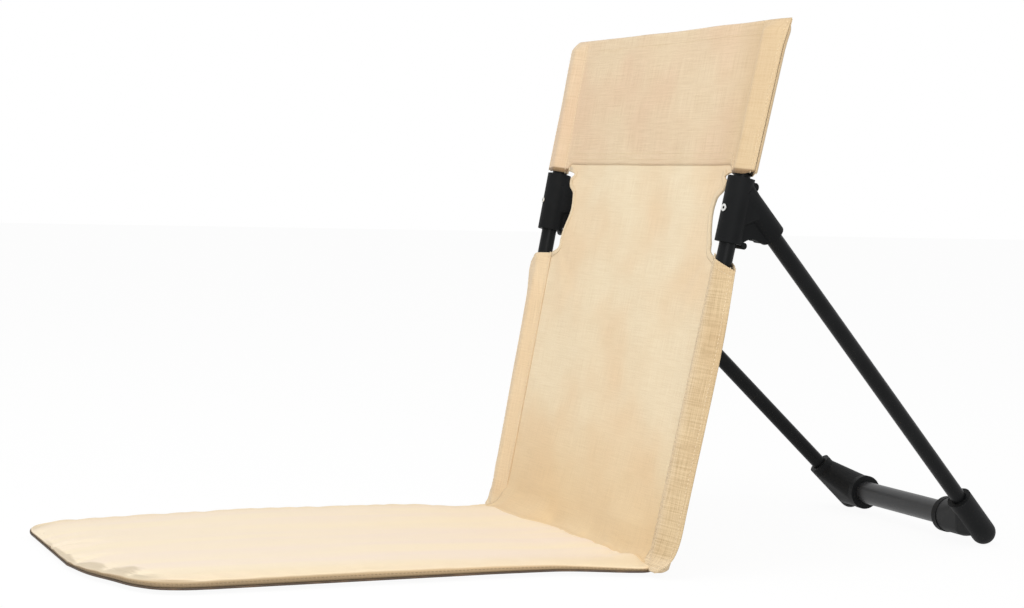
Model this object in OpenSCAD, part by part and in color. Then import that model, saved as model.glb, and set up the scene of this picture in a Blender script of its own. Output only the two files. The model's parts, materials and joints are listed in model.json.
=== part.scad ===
// Floor-level folding camping chair: a padded seat mat on the ground, a cloth back held
// by two poles, and a plugged-together rear leg frame that props the back up.
// X is the width, the sitter faces -Y and +Z is up. The origin lies on the ground, under
// the middle of the whole chair. The left side (+X) is drawn and the right one mirrors it.

/* [Back frame] */
// Lean of the back from upright, degrees
recline = 10.7; // [5:0.1:25]
// Length of each side pole, foot to top
pole_len = 470; // [420:1:560]
// Distance of each pole's foot from the middle of the chair
pole_foot_x = 180; // [150:1:220]
// Distance of each pole's top from the middle of the chair
pole_top_x = 193.7; // [150:0.1:240]
// Height of the pole feet above the ground
pole_foot_z = 10; // [8:0.5:14]
// Outer diameter of poles and leg struts
tube_d = 15; // [12:0.5:20]
// Wall of every tube
tube_wall = 1.2; // [0.8:0.1:2]
// Thickness of the flange on each pole end plug
plug_flange = 3; // [2:0.5:5]
// Length of the plug inside its tube
plug_len = 12; // [8:1:20]
// Diameter of the elastic cord inside the tubes
cord_d = 3; // [2:0.5:4]

/* [Hubs] */
// Distance up the pole at which the strut's line meets the pole's line
apex_s = 333; // [320:1:340]
// Lower end of the hub sleeve, measured up the pole
hub_low_s = 286; // [275:1:292]
// Upper end of the hub sleeve, measured up the pole
hub_high_s = 344; // [340:1:347]
// Outer diameter of the hub sleeve and of its arm
hub_d = 24; // [21:0.5:28]
// Solid stop between the two pole sockets
hub_stop = 4; // [3:0.5:8]
// Distance from the apex to the mouth of the strut socket
arm_len = 56; // [54:1:75]
// Depth of the strut socket
arm_socket = 36; // [26:1:38]
// Thickness of the web between sleeve and arm
web_t = 13; // [8:0.5:16]
// Length of sleeve and arm, from the apex, that the full body between them covers
hub_body = 30; // [26:1:36]
// Radius of the arch in the lower edge of the web
web_arch_r = 16; // [12:1:30]
// Rise of that arch
web_arch_rise = 3; // [1:0.5:5]
// Radius of the small lug behind the top of the sleeve
lug_r = 4; // [3:0.5:5]
// Radius of the two small lugs at the ends of the web's arch
web_lug_r = 3; // [2:0.5:4]
// Outer diameter of the tubular rivet's shank
rivet_d = 4; // [3:0.1:6]
// Diameter of the rivet's rolled head
rivet_head_d = 6.6; // [5:0.1:9]
// Thickness of the rivet's head
rivet_head_t = 0.8; // [0.5:0.1:1.5]
// Hole through the rivet
rivet_bore_d = 2.6; // [1.5:0.1:4]
// Height of the rivet above the hub sleeve's lower end
rivet_s = 29; // [20:1:33]

/* [Leg frame] */
// Distance of each foot from the middle of the chair
leg_foot_x = 121; // [90:1:170]
// Distance of the feet behind the fold of the cloth
leg_reach = 374; // [320:1:430]
// Height of the cross bar's axis above the ground
foot_z = 23; // [18:0.5:30]
// Length of the elbow's strut arm above the cross bar's axis
elbow_arm = 35; // [28:1:48]
// Length of the elbow's bar arm, from the strut's axis
elbow_bar_arm = 49; // [40:1:60]
// Outer diameter of the elbow's bar arm
elbow_bar_d = 35; // [28:0.5:40]
// Outer diameter of the cross bar
bar_d = 23; // [18:0.5:26]
// Distance from the strut's axis to the blind end of the bar socket
bar_stop = 14; // [12:0.5:20]
// Spare depth behind the bar's end in the right elbow
bar_free = 10; // [8:0.5:14]
// Distance the strut runs past the cross bar's axis inside the elbow
strut_past = 4; // [0:0.5:8]
// Distance that a moulded body lies under the surface of the arms that it joins
body_ease = 0.8; // [0.4:0.1:2]
// Length of the plain collar at both mouths of the elbow
elbow_collar = 6; // [3:0.5:10]

/* [Cloth back] */
// Distance from the pole's top plug to the top edge of the cloth
cloth_past = 11; // [6:1:20]
// Seam under the head panel, measured up the pole
head_seam_s = 355; // [330:1:390]
// Lower edge of the side notch
notch_low_s = 268; // [250:1:290]
// Upper edge of the side notch
notch_high_s = 350; // [345:1:380]
// Radius of the notch's curved inner edge
notch_r = 60; // [45:1:80]
// Distance from the middle of the back to the notch's inner edge
notch_inner_x = 150; // [130:1:165]
// Width of the upper sleeve outboard of the pole
sleeve_out = 24; // [16:1:34]
// Width of the baggier lower sleeve outboard of the pole
sleeve_low_out = 26; // [16:1:34]
// Width of the sleeve inboard of the pole
sleeve_in = 14; // [11:1:20]
// Thickness of one layer of sleeve cloth
cloth_t = 1; // [0.6:0.1:2]
// Thickness of the double back panel
panel_t = 2.4; // [1.6:0.1:5]
// Thickness of the head panel with its extra layer
head_t = 3.4; // [2:0.1:6]

/* [Seat mat] */
// Length of the chair from the fold to the front edge
seat_len = 480; // [430:1:560]
// Distance the mat runs out past each pole's axis at the fold
seat_flare = 6; // [0:1:16]
// Half width of the mat once it has drawn in
seat_half_mid = 165; // [140:1:200]
// Half width of the mat where the front corners begin
seat_half_front = 163; // [130:1:200]
// Distance from the fold over which the mat draws in
seat_draw_len = 100; // [60:1:160]
// Radius of the front corners
seat_corner_r = 100; // [50:1:120]
// Thickness of the mat at its edge
seat_t = 13; // [10:0.5:25]
// Thickness of the mat at its front edge
seat_front_t = 7; // [6:0.5:14]
// Length of the slope down to the front edge
seat_slope_len = 90; // [40:1:140]
// Rise of the mat's top in the middle
seat_crown = 2; // [1:0.5:4]
// Thickness of the cover cloth on top and underneath
cover_t = 1.4; // [1:0.1:3]
// Thickness of the side band
border_t = 2; // [1.5:0.1:4]
// Distance of the crease in front of the back's plane
crease = 10.5; // [9.5:0.5:16]

/* [Fits] */
// Radial play of a tube in its socket
play = 0.05; // [0.02:0.01:0.1]
// Gap between soft pieces
soft_gap = 0.3; // [0.2:0.05:0.5]

/* [Hidden] */
$fn = 64;
// Sides of the round shapes that a hull blends
hull_sides = 32;
// Overrun of every cut past the solid that it cuts
cut = 1;
// Number of flat steps in each cloth curve
bend_steps = 10;
corner_steps = 10;
flank_steps = 14;
slope_steps = 12;
across_steps = 10;
tube_r = tube_d / 2;
bore_r = tube_r + play;
tube_in_r = tube_r - tube_wall;
plug_r = tube_in_r - play;
cord_r = cord_d / 2;
hub_r = hub_d / 2;
sleeve_r = tube_r + play + cloth_t;
splay = atan2(pole_top_x - pole_foot_x, pole_len);
hub_mid_s = (hub_low_s + hub_high_s) / 2;
rivet_up = hub_low_s + rivet_s - apex_s;
hub_foot = hub_low_s - apex_s;

// Where the strut's line starts and ends, in the frame of the back, then its direction from the pole
apex = [pole_foot_x + apex_s * sin(splay), 0, apex_s * cos(splay)];
rise = foot_z - pole_foot_z;
elbow_at = [leg_foot_x, leg_reach * cos(recline) - rise * sin(recline),
        leg_reach * sin(recline) + rise * cos(recline)];
leg = elbow_at - apex;
leg_len = norm(leg);
leg_x = leg[0] * cos(splay) - leg[2] * sin(splay);
leg_z = leg[0] * sin(splay) + leg[2] * cos(splay);
plane_turn = atan2(leg[1], leg_x);
leg_angle = atan2(norm([leg_x, leg[1]]), -leg_z);
leg_drop = (pole_foot_z + apex[2] * cos(recline) - foot_z) / leg_len;
leg_back = (leg_reach - apex[2] * sin(recline)) / leg_len;
toe = (foot_z - hub_r) / leg_drop;

// In the hub's plane: the arm's direction, the square to it and the web's end under the arm
arm_dir = [sin(leg_angle), -cos(leg_angle)];
arm_side = [-cos(leg_angle), -sin(leg_angle)];
web_end = (arm_len - 2 * web_lug_r) * arm_dir + hub_r * arm_side;

// The chair's length is centred on the origin
rear_reach = leg_reach + toe * leg_back + hub_r;
fold_y = (seat_len - rear_reach) / 2;
sleeve_low_s = -plug_flange - 2 * cloth_t;
cloth_top_s = pole_len + plug_flange + cloth_past;
strut_top = arm_len - arm_socket + 2 * cloth_t;
strut_len = leg_len + strut_past - strut_top;
bar_from = -leg_foot_x + bar_stop + bar_free;
bar_to = leg_foot_x - bar_stop - 2 * play;
seat_rear = -crease - soft_gap;
seat_half_back = pole_foot_x + seat_flare;
seat_widest = max(seat_half_back, seat_half_mid, seat_half_front);
corner_x = seat_half_front - seat_corner_r;
corner_y = seat_corner_r - seat_len;
strip_half = pole_foot_x - sleeve_in - 5 * cloth_t;

// Frames of reference

module back_frame() translate([0, fold_y, pole_foot_z]) rotate([-recline, 0, 0]) children();

// z runs up the left pole from its foot
module pole_frame() back_frame() translate([pole_foot_x, 0, 0]) rotate([0, splay, 0]) children();

// origin where strut and pole lines meet; x points back in the plane of the hub
module hub_frame() pole_frame() translate([0, 0, apex_s]) rotate([0, 0, plane_turn]) children();

// z runs down the left strut from that meeting point
module leg_frame() hub_frame() rotate([0, 180 - leg_angle, 0]) children();

module elbow_frame() translate([leg_foot_x, fold_y + leg_reach, foot_z]) children();

module along_x(from, to) translate([from, 0, 0]) rotate([0, 90, 0]) linear_extrude(to - from) children();

module mirrored() mirror([1, 0, 0]) children();

module tube(from, to, r, r_in) translate([0, 0, from]) difference() {
    cylinder(h = to - from, r = r);
    translate([0, 0, -cut]) cylinder(h = to - from + 2 * cut, r = r_in);
}

// Poles

module pole_lower() color("#202124") pole_frame() difference() {
    tube(0, hub_mid_s - hub_stop / 2 - play, tube_r, tube_in_r);
    translate([0, 0, apex_s + rivet_up]) rotate([0, 0, plane_turn]) rotate([0, -90, 0])
        cylinder(h = hub_d, r = rivet_d / 2 + play);
}

module pole_upper() color("#202124") pole_frame()
    tube(hub_mid_s + hub_stop / 2 + play, pole_len, tube_r, tube_in_r);

// Plug with a flange outside the tube and a hole for the cord
module plug() difference() {
    union() {
        translate([0, 0, -plug_flange]) cylinder(h = plug_flange - play, r = tube_r);
        translate([0, 0, -plug_flange]) cylinder(h = plug_len + plug_flange, r = plug_r);
    }
    translate([0, 0, -play]) cylinder(h = plug_len + cut, r = cord_r + play);
}

module pole_foot() color("#17181a") pole_frame() plug();

module pole_top() color("#17181a") pole_frame() translate([0, 0, pole_len]) mirror([0, 0, 1]) plug();

module pole_cord() color("#4a4a4a") pole_frame()
    translate([0, 0, play]) cylinder(h = pole_len - 2 * play, r = cord_r);

// Hubs

// An outline in the plane of a frame's x and z, spread to both sides of that plane
module upright(t) rotate([90, 0, 0]) translate([0, 0, -t / 2]) linear_extrude(t) children();

// Web between sleeve and arm, with an arched lower edge
module hub_web() upright(web_t) difference() {
    polygon([[hub_r * 3 / 4, 0], [hub_r * 3 / 4, hub_foot], [hub_r, hub_foot], web_end,
        (arm_len - 2 * web_lug_r) * arm_dir]);
    translate([(hub_r + web_end[0]) / 2, (hub_foot + web_end[1]) / 2 + web_arch_rise - web_arch_r])
        circle(r = web_arch_r);
}

// Full body where sleeve and arm part
module hub_body() hull() {
    hub_frame() translate([0, 0, -hub_body])
        cylinder(h = hub_high_s - apex_s - lug_r + hub_body, r = hub_r - body_ease, $fn = hull_sides);
    leg_frame() translate([0, 0, hub_r / 4])
        cylinder(h = hub_body - hub_r / 4, r = hub_r - body_ease, $fn = hull_sides);
}

// A short bar across the web, at a place in the hub's plane
module web_bar(at, r) hub_frame() upright(web_t) translate(at) circle(r = r);

module hub() color("#1b1c1e") difference() {
    union() {
        pole_frame() translate([0, 0, hub_low_s]) cylinder(h = hub_high_s - hub_low_s, r = hub_r);
        leg_frame() translate([0, 0, hub_r / 4]) cylinder(h = arm_len - hub_r / 4, r = hub_r);
        hub_frame() hub_web();
        hub_body();
        web_bar([hub_r, hub_high_s - apex_s - lug_r * 3 / 2], lug_r);
        web_bar([hub_r + web_lug_r / 2, hub_foot], web_lug_r);
        web_bar(web_end, web_lug_r);
    }
    pole_frame() {
        translate([0, 0, hub_low_s - cut])
            cylinder(h = hub_mid_s - hub_stop / 2 - hub_low_s + cut, r = bore_r);
        translate([0, 0, hub_mid_s + hub_stop / 2])
            cylinder(h = hub_high_s - hub_mid_s, r = bore_r);
        translate([0, 0, hub_low_s]) cylinder(h = hub_high_s - hub_low_s, r = cord_r + play);
    }
    leg_frame() translate([0, 0, arm_len - arm_socket]) cylinder(h = arm_socket + cut, r = bore_r);
    hub_frame() translate([0, 0, rivet_up]) rotate([0, -90, 0])
        cylinder(h = hub_d, r = rivet_d / 2 + play);
}

module rivet() color("#c9c9c6") hub_frame() translate([0, 0, rivet_up]) rotate([0, -90, 0])
difference() {
    union() {
        translate([0, 0, tube_in_r]) cylinder(h = hub_r - tube_in_r + play, r = rivet_d / 2);
        translate([0, 0, hub_r + play]) cylinder(h = rivet_head_t, r = rivet_head_d / 2);
    }
    cylinder(h = hub_d, r = rivet_bore_d / 2);
}

// Rear leg frame

module strut() color("#1d1e20") leg_frame() tube(strut_top, strut_top + strut_len, tube_r, tube_in_r);

module strut_plug() color("#17181a") leg_frame() translate([0, 0, strut_top]) difference() {
    cylinder(h = plug_len, r = plug_r);
    translate([0, 0, cloth_t]) cylinder(h = plug_len, r = cord_r + play);
}

module leg_cord() color("#4a4a4a") leg_frame()
    translate([0, 0, strut_top + cloth_t + play]) cylinder(h = strut_len - cloth_t - 2 * play, r = cord_r);

// Full body between the elbow's two collars
module elbow_body() hull() {
    leg_frame() translate([0, 0, leg_len - elbow_arm + elbow_collar])
        cylinder(h = elbow_arm - elbow_collar + toe / 2, r = hub_r - body_ease, $fn = hull_sides);
    elbow_frame() translate([elbow_collar - elbow_bar_arm, 0, 0]) rotate([0, 90, 0])
        cylinder(h = elbow_bar_arm - elbow_collar - bar_stop, r = elbow_bar_d / 2 - body_ease,
            $fn = hull_sides);
}

module elbow() color("#232426") difference() {
    union() {
        leg_frame() translate([0, 0, leg_len - elbow_arm]) cylinder(h = elbow_arm + toe, r = hub_r);
        leg_frame() translate([0, 0, leg_len + toe]) sphere(r = hub_r);
        elbow_frame() translate([-elbow_bar_arm, 0, 0]) rotate([0, 90, 0])
            cylinder(h = elbow_collar + body_ease, r = elbow_bar_d / 2);
        elbow_body();
    }
    leg_frame() translate([0, 0, leg_len - elbow_arm - cut])
        cylinder(h = elbow_arm + strut_past + cut + play, r = bore_r);
    elbow_frame() translate([-elbow_bar_arm - cut, 0, 0]) rotate([0, 90, 0])
        cylinder(h = elbow_bar_arm - bar_stop + cut, r = bar_d / 2 + play);
}

module cross_bar() color("#3a3b3d") translate([0, fold_y + leg_reach, foot_z]) rotate([0, 90, 0])
    tube(bar_from, bar_to, bar_d / 2, bar_d / 2 - tube_wall);

// Cloth back

function arc(centre, r, from, to, steps) = [
    for (i = [0:steps]) let (a = from + (to - from) * i / steps) centre + r * [cos(a), sin(a)]
];

// Section of a sleeve: cloth drawn tight over the pole down to a flat edge on each side
module sleeve_section(out) {
    a_out = acos(sleeve_r / out);
    a_in = acos(sleeve_r / sleeve_in);
    polygon(concat(
        [[out, -cloth_t], [out, cloth_t]],
        arc([0, 0], sleeve_r, a_out, 180 - a_in, bend_steps),
        [[-sleeve_in, cloth_t], [-sleeve_in, -cloth_t]],
        arc([0, 0], sleeve_r, 180 + a_in, 360 - a_out, bend_steps)
    ));
}

// A sleeve between two stations, hollow from one to the other
module sleeve(from, to, hollow_from, hollow_to, out) color("#e6d3ae") pole_frame() difference() {
    translate([0, 0, from]) linear_extrude(to - from) sleeve_section(out);
    translate([0, 0, hollow_from]) cylinder(h = hollow_to - hollow_from, r = tube_r + play);
}

module sleeve_lower()
    sleeve(sleeve_low_s, notch_low_s, -plug_flange - play, notch_low_s + cut, sleeve_low_out);

module sleeve_upper()
    sleeve(notch_high_s, cloth_top_s, notch_high_s - cut, pole_len + plug_flange + play, sleeve_out);

function panel_half(s) = pole_foot_x + s * tan(splay) - sleeve_in / cos(splay) - soft_gap;

module flat_panel(t) back_frame() translate([0, t / 2, 0]) rotate([90, 0, 0]) linear_extrude(t)
    children();

module trapezoid(low, high) polygon([
    [-panel_half(low), low], [panel_half(low), low],
    [panel_half(high), high], [-panel_half(high), high]
]);

module notch() intersection() {
    translate([notch_inner_x + notch_r, (notch_low_s + notch_high_s) / 2]) circle(r = notch_r);
    translate([0, notch_low_s]) square([pole_top_x, notch_high_s - notch_low_s]);
}

module back_panel() color("#ead9b6") flat_panel(panel_t) difference() {
    trapezoid(seat_t - pole_foot_z + panel_t / 4, head_seam_s - soft_gap);
    notch();
    mirror([1, 0]) notch();
}

module head_panel() color("#e2c9a8") flat_panel(head_t) trapezoid(head_seam_s, cloth_top_s);

// Rounded fold of cloth from the foot of the back to the rear of the seat
module fold_strip() color("#e4d0a8") translate([-strip_half, fold_y - crease, seat_t])
rotate([90, 0, 90]) linear_extrude(strip_half * 2) intersection() {
    difference() {
        circle(r = seat_t);
        circle(r = seat_t - panel_t);
    }
    translate([0, -seat_t]) square(seat_t);
}

// Seat mat

// Half width of the mat's flank at y, drawn in behind the flared rear edge by a smooth curve
function seat_half(y) = seat_half_front
    + (seat_half_mid - seat_half_front) * (y - corner_y) / (seat_rear - corner_y)
    + (seat_half_back - seat_half_mid) * (1 + cos(180 * min(1, (seat_rear - y) / seat_draw_len))) / 2;

// Height of the mat's edge at y, sloping down to the front edge
function seat_edge_z(y) = seat_t
    - (seat_t - seat_front_t) * (1 + cos(180 * min(1, (y + seat_len) / seat_slope_len))) / 2;

// Half width and y of each row across the mat, from its front edge to its rear edge
function seat_rows(inset) = concat(
    [for (i = [0:corner_steps]) let (a = 90 * i / corner_steps)
        [corner_x + (seat_corner_r - inset) * sin(a), corner_y - (seat_corner_r - inset) * cos(a)]],
    [for (i = [1:flank_steps]) let (f = i / flank_steps, y = corner_y + (seat_rear - corner_y) * f)
        [seat_half(y) - inset, y - inset * f]]
);

module seat_outline(inset) {
    rows = seat_rows(inset);
    last = len(rows) - 1;
    polygon(concat([for (r = rows) r], [for (i = [last:-1:0]) [-rows[i][0], rows[i][1]]]));
}

// Space over the mat's whole area, from a flat level up to a distance above the mat's edge
module seat_slice(low, over) translate([-seat_widest - cut, fold_y, 0]) rotate([90, 0, 90])
linear_extrude(2 * (seat_widest + cut)) polygon(concat(
    [[seat_rear + cut, low], [seat_rear + cut, seat_t + over]],
    [for (i = [slope_steps:-1:0]) let (y = seat_slope_len * i / slope_steps - seat_len)
        [y, seat_edge_z(y) + over]],
    [[-seat_len - cut, seat_front_t + over], [-seat_len - cut, low]]
));

module seat_block(inset) translate([0, fold_y, -cut]) linear_extrude(seat_t + 2 * cut) seat_outline(inset);

module seat_base() color("#5b4a3a") translate([0, fold_y, 0]) linear_extrude(cover_t)
    seat_outline(border_t);

module seat_border() color("#dcc7a0") difference() {
    intersection() {
        seat_block(0);
        seat_slice(cover_t + soft_gap, -cover_t - soft_gap);
    }
    seat_block(border_t);
}

module seat_foam() color("#f4f0e6") intersection() {
    seat_block(border_t + soft_gap);
    seat_slice(cover_t + soft_gap, -cover_t - soft_gap);
}

// Top cover, crowned across the width and following the slope to the front edge
module seat_top() {
    rows = seat_rows(0);
    last = len(rows) - 1;
    per_row = across_steps + 1;
    under = len(rows) * per_row;
    points = [for (over = [0, 1]) for (r = rows) for (j = [0:across_steps])
        let (u = 2 * j / across_steps - 1)
        [r[0] * u, r[1], seat_edge_z(r[1]) + (over == 0 ? seat_crown * (1 - u * u) : -cover_t)]];
    top_quads = [for (k = [0:last - 1]) for (j = [0:across_steps - 1])
        [k * per_row + j, (k + 1) * per_row + j, (k + 1) * per_row + j + 1, k * per_row + j + 1]];
    rim = concat(
        [for (j = [0:across_steps]) j],
        [for (k = [1:last]) k * per_row + across_steps],
        [for (j = [across_steps - 1:-1:0]) last * per_row + j],
        [for (k = [last - 1:-1:1]) k * per_row]
    );
    faces = concat(
        [for (q = top_quads) for (i = [1, 2]) [q[0], q[i], q[i + 1]]],
        [for (q = top_quads) for (i = [1, 2]) [under + q[i + 1], under + q[i], under + q[0]]],
        [for (i = [0:len(rim) - 1]) let (a = rim[i], b = rim[(i + 1) % len(rim)]) for (t = [0, 1])
            t == 0 ? [a, b, under + b] : [a, under + b, under + a]]
    );
    color("#f1e4cd") translate([0, fold_y, 0]) polyhedron(points, faces);
}

pole_lower();  // pole_lower_left
mirrored() pole_lower();  // pole_lower_right
pole_upper();  // pole_upper_left
mirrored() pole_upper();  // pole_upper_right
pole_foot();  // pole_foot_left
mirrored() pole_foot();  // pole_foot_right
pole_top();  // pole_top_left
mirrored() pole_top();  // pole_top_right
pole_cord();  // pole_cord_left
mirrored() pole_cord();  // pole_cord_right
hub();  // hub_left
mirrored() hub();  // hub_right
rivet();  // rivet_left
mirrored() rivet();  // rivet_right
strut();  // strut_left
mirrored() strut();  // strut_right
strut_plug();  // strut_plug_left
mirrored() strut_plug();  // strut_plug_right
leg_cord();  // leg_cord_left
mirrored() leg_cord();  // leg_cord_right
elbow();  // elbow_left
mirrored() elbow();  // elbow_right
cross_bar();
back_panel();
head_panel();
sleeve_lower();  // sleeve_lower_left
mirrored() sleeve_lower();  // sleeve_lower_right
sleeve_upper();  // sleeve_upper_left
mirrored() sleeve_upper();  // sleeve_upper_right
fold_strip();
seat_top();
seat_border();
seat_foam();
seat_base();
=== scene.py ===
# %% [markdown]
# # A folding chair for the beach or the camp fire
# The real chair sits right on the ground. A thin padded mat folds up to a cloth back, the back
# hangs on two poles in sewn sleeves, and a rear frame of struts, elbows and a cross bar props it
# up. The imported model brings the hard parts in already: poles, hubs, struts, elbows, bar. What is
# left for this script is the cloth, the padding, the stitches, and the finish of every surface.

# %% Load the hard parts
import bpy
import json
import math
import numpy as np
from mathutils import Matrix, Vector
from mathutils.bvhtree import BVHTree


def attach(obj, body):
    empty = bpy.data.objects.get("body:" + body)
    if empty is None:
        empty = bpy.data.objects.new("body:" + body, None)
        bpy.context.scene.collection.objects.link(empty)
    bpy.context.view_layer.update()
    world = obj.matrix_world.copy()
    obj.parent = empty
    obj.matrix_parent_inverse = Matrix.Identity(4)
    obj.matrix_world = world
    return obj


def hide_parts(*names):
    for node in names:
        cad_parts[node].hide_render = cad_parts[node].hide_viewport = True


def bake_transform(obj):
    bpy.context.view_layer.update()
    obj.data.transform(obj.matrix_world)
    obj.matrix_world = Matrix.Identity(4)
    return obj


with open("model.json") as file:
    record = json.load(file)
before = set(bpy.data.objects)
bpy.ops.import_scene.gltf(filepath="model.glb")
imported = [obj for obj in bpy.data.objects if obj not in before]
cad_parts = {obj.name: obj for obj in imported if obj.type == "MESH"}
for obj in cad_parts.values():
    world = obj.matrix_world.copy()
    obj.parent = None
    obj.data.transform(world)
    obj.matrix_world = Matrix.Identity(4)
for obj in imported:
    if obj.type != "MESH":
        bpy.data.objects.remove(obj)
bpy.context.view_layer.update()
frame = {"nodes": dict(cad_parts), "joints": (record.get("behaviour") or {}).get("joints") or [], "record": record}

# %% [markdown]
# Lengths are in metres, so a size in millimetres is written as a number times `mm`. Some tables,
# and the helpers for curves, ripples and pull lines, take plain millimetres to keep the lines
# short. The back leans, so its cloth is easier to draw in a frame of its own: x runs across, y
# runs back through the cloth, and z runs up along the poles from their feet. One matrix then takes
# the points to their place in the room.

# %% Sizes that the cloth takes from the frame
mm = 0.001
recline = math.radians(10.7)
pole_foot_z = 10 * mm
pole_half_low = 180 * mm
pole_half_high = 193.7 * mm
pole_len = 470 * mm
pole_r = 7.5 * mm
crease_ahead = 10.5 * mm

fold = next(joint for joint in frame["joints"] if joint["name"] == "seat_fold")
fold_y = fold["pos_m"][1] + crease_ahead
fold_at = np.array([0, fold_y, 0])
back_place = Matrix.Translation((0, fold_y, pole_foot_z)) @ Matrix.Rotation(-recline, 4, "X")
back_at, back_turn = np.array(back_place.translation), np.array(back_place.to_3x3())
print("the back's cloth starts", round(fold_y / mm, 1), "mm behind the middle of the chair")


# %% Small helpers for curves
def smooth(t):
    """Eases from 0 to 1 as t goes from 0 to 1."""
    t = np.clip(t, 0, 1)
    return t * t * (3 - 2 * t)


def eased(x, start, end):
    """Eases from 0 to 1 as x, in metres, goes from start to end, in millimetres."""
    return smooth((x - start * mm) / ((end - start) * mm))


def through(places, values):
    """A smooth curve through a few chosen points, as a function."""
    places, values = np.array(places, float), np.array(values, float)
    slopes = np.gradient(values, places)

    def curve(x):
        x = np.clip(x, places[0], places[-1])
        i = np.clip(np.searchsorted(places, x) - 1, 0, len(places) - 2)
        step = places[i + 1] - places[i]
        t = (x - places[i]) / step
        start = (1 + 2 * t) * values[i] + t * step * slopes[i]
        end = (3 - 2 * t) * values[i + 1] - (1 - t) * step * slopes[i + 1]
        return (1 - t) ** 2 * start + t ** 2 * end

    return curve


def through_mm(places, values):
    """The same for points given in millimetres."""
    return through(np.array(places) * mm, np.array(values) * mm)


def cubic(t, knots):
    """A cubic curve with four knots, from the first at 0 to the last at 1."""
    a, b, c, d = knots
    return (1 - t) ** 3 * a + 3 * t * (1 - t) ** 2 * b + 3 * t ** 2 * (1 - t) * c + t ** 3 * d


def mound(x, middle, width):
    """A soft hill: 1 at its middle and next to nothing two widths away, both in millimetres."""
    return np.exp(-((x - middle * mm) / (width * mm)) ** 2)


print("an eased step of 10 mm is at", round(float(eased(4 * mm, 0, 10)), 3), "after 4 mm")


# %% Helpers for uneven cloth
def ripple(x, z, size, start):
    """Slow unevenness between about -1 and 1, as in cloth that was folded and hung up again.

    size is the length of its waves in millimetres, and start picks one of many patterns."""
    total = 0
    for k in range(4):
        turn = start + 2.4 * k
        along = x * math.cos(turn) + z * math.sin(turn)
        wave = size * mm * (0.8 + 0.23 * k)
        total = total + np.sin(2 * math.pi * along / wave + start * (k + 1))
    return total / 4


def crease(x, z, start, end, width):
    """A soft line, given in millimetres: 1 where it starts, 0 at its end and well beside it."""
    (x0, z0), (x1, z1) = (start[0] * mm, start[1] * mm), (end[0] * mm, end[1] * mm)
    length = math.hypot(x1 - x0, z1 - z0)
    along = ((x - x0) * (x1 - x0) + (z - z0) * (z1 - z0)) / length ** 2
    nearest = np.clip(along, 0, 1)
    off = np.hypot(x - x0 - nearest * (x1 - x0), z - z0 - nearest * (z1 - z0))
    return mound(off, 0, width) * np.sqrt(np.clip(1 - along, 0, 1)) * (along > -0.2)


def pole_x(z):
    """Distance of the left pole's axis from the middle, at a height along the back."""
    return pole_half_low + z * (pole_half_high - pole_half_low) / pole_len


# %% [markdown]
# ## The camera first
# With the camera at the photograph's place from the start, every later picture can be laid beside
# the photograph. A long lens stands low and to the chair's left, and looks a little down.

# %% Camera
def link(data, name):
    """An object in the scene from a mesh, a camera or a light."""
    piece = bpy.data.objects.new(name, data)
    bpy.context.scene.collection.objects.link(piece)
    return piece


def place_camera(at, yaw, pitch, roll, focal_share):
    """A camera turned to the left by yaw, down by pitch and rolled, in degrees.

    focal_share is the lens's focal length as a share of the picture's width."""
    yaw, pitch, roll = (math.radians(angle) for angle in (yaw, pitch, roll))
    ahead = Vector((
        -math.sin(yaw) * math.cos(pitch),
        math.cos(yaw) * math.cos(pitch),
        -math.sin(pitch),
    ))
    level = Vector((math.cos(yaw), math.sin(yaw), 0))
    above = level.cross(ahead)
    right = level * math.cos(roll) + above * math.sin(roll)
    up = above * math.cos(roll) - level * math.sin(roll)
    data = bpy.data.cameras.new("camera")
    data.sensor_width = 36
    data.lens = data.sensor_width * focal_share
    camera = link(data, "camera")
    camera.matrix_world = Matrix.Translation(at) @ Matrix((right, up, -ahead)).transposed().to_4x4()
    bpy.context.scene.camera = camera
    return camera


camera_at = (1.792, fold_y - 0.845, 0.337)
camera = place_camera(camera_at, yaw=66.57, pitch=3.27, roll=1.51, focal_share=2.051)
print("lens:", round(camera.data.lens, 1), "mm")


# %% [markdown]
# ## Finishes
# A finish is a small program made of nodes. Arithmetic reads best as arithmetic, so `Field` wraps
# a socket and adds a Math node for each operator. Any other node comes from `Finish.add`, which
# also takes a colour by its six-digit screen code.

# %% Nodes
def add_node(tree, kind, settings=None, sockets=None):
    """A node with its settings made first, then each socket given a value or a link."""
    node = tree.nodes.new(kind)
    for name, value in (settings or {}).items():
        setattr(node, name, value)
    for name, value in (sockets or {}).items():
        if isinstance(value, bpy.types.NodeSocket):
            tree.links.new(value, node.inputs[name])
        else:
            node.inputs[name].default_value = value
    return node


def colour(code):
    """The colour that a six-digit code names on a screen, as the shader's numbers."""
    parts = [int(code[i:i + 2], 16) / 255 for i in (0, 2, 4)]
    light = [c / 12.92 if c <= 0.04045 else ((c + 0.055) / 1.055) ** 2.4 for c in parts]
    return (*light, 1.0)


print("a middle grey on the screen is", round(colour("808080")[0], 3), "to the shader")


# %% Fields
class Field:
    """A number, colour or direction that varies over a surface."""

    def __init__(self, finish, socket):
        self.finish = finish
        self.socket = socket

    def math(self, operation, *others, first=None):
        values = ([first] if first is not None else []) + [self, *others]
        return self.finish.add("ShaderNodeMath", {"operation": operation}, dict(enumerate(values)))

    def __add__(self, other):
        return self.math("ADD", other)

    def __sub__(self, other):
        return self.math("SUBTRACT", other)

    def __rsub__(self, other):
        return self.math("SUBTRACT", first=other)

    def __mul__(self, other):
        return self.math("MULTIPLY", other)

    __radd__, __rmul__ = __add__, __mul__

    def sine(self):
        return self.math("SINE")

    def between(self, low, high):
        """0 at low and 1 at high, eased and held at both ends."""
        settings = {"interpolation_type": "SMOOTHSTEP"}
        return self.finish.add("ShaderNodeMapRange", settings, {0: self, 1: low, 2: high})


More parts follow.
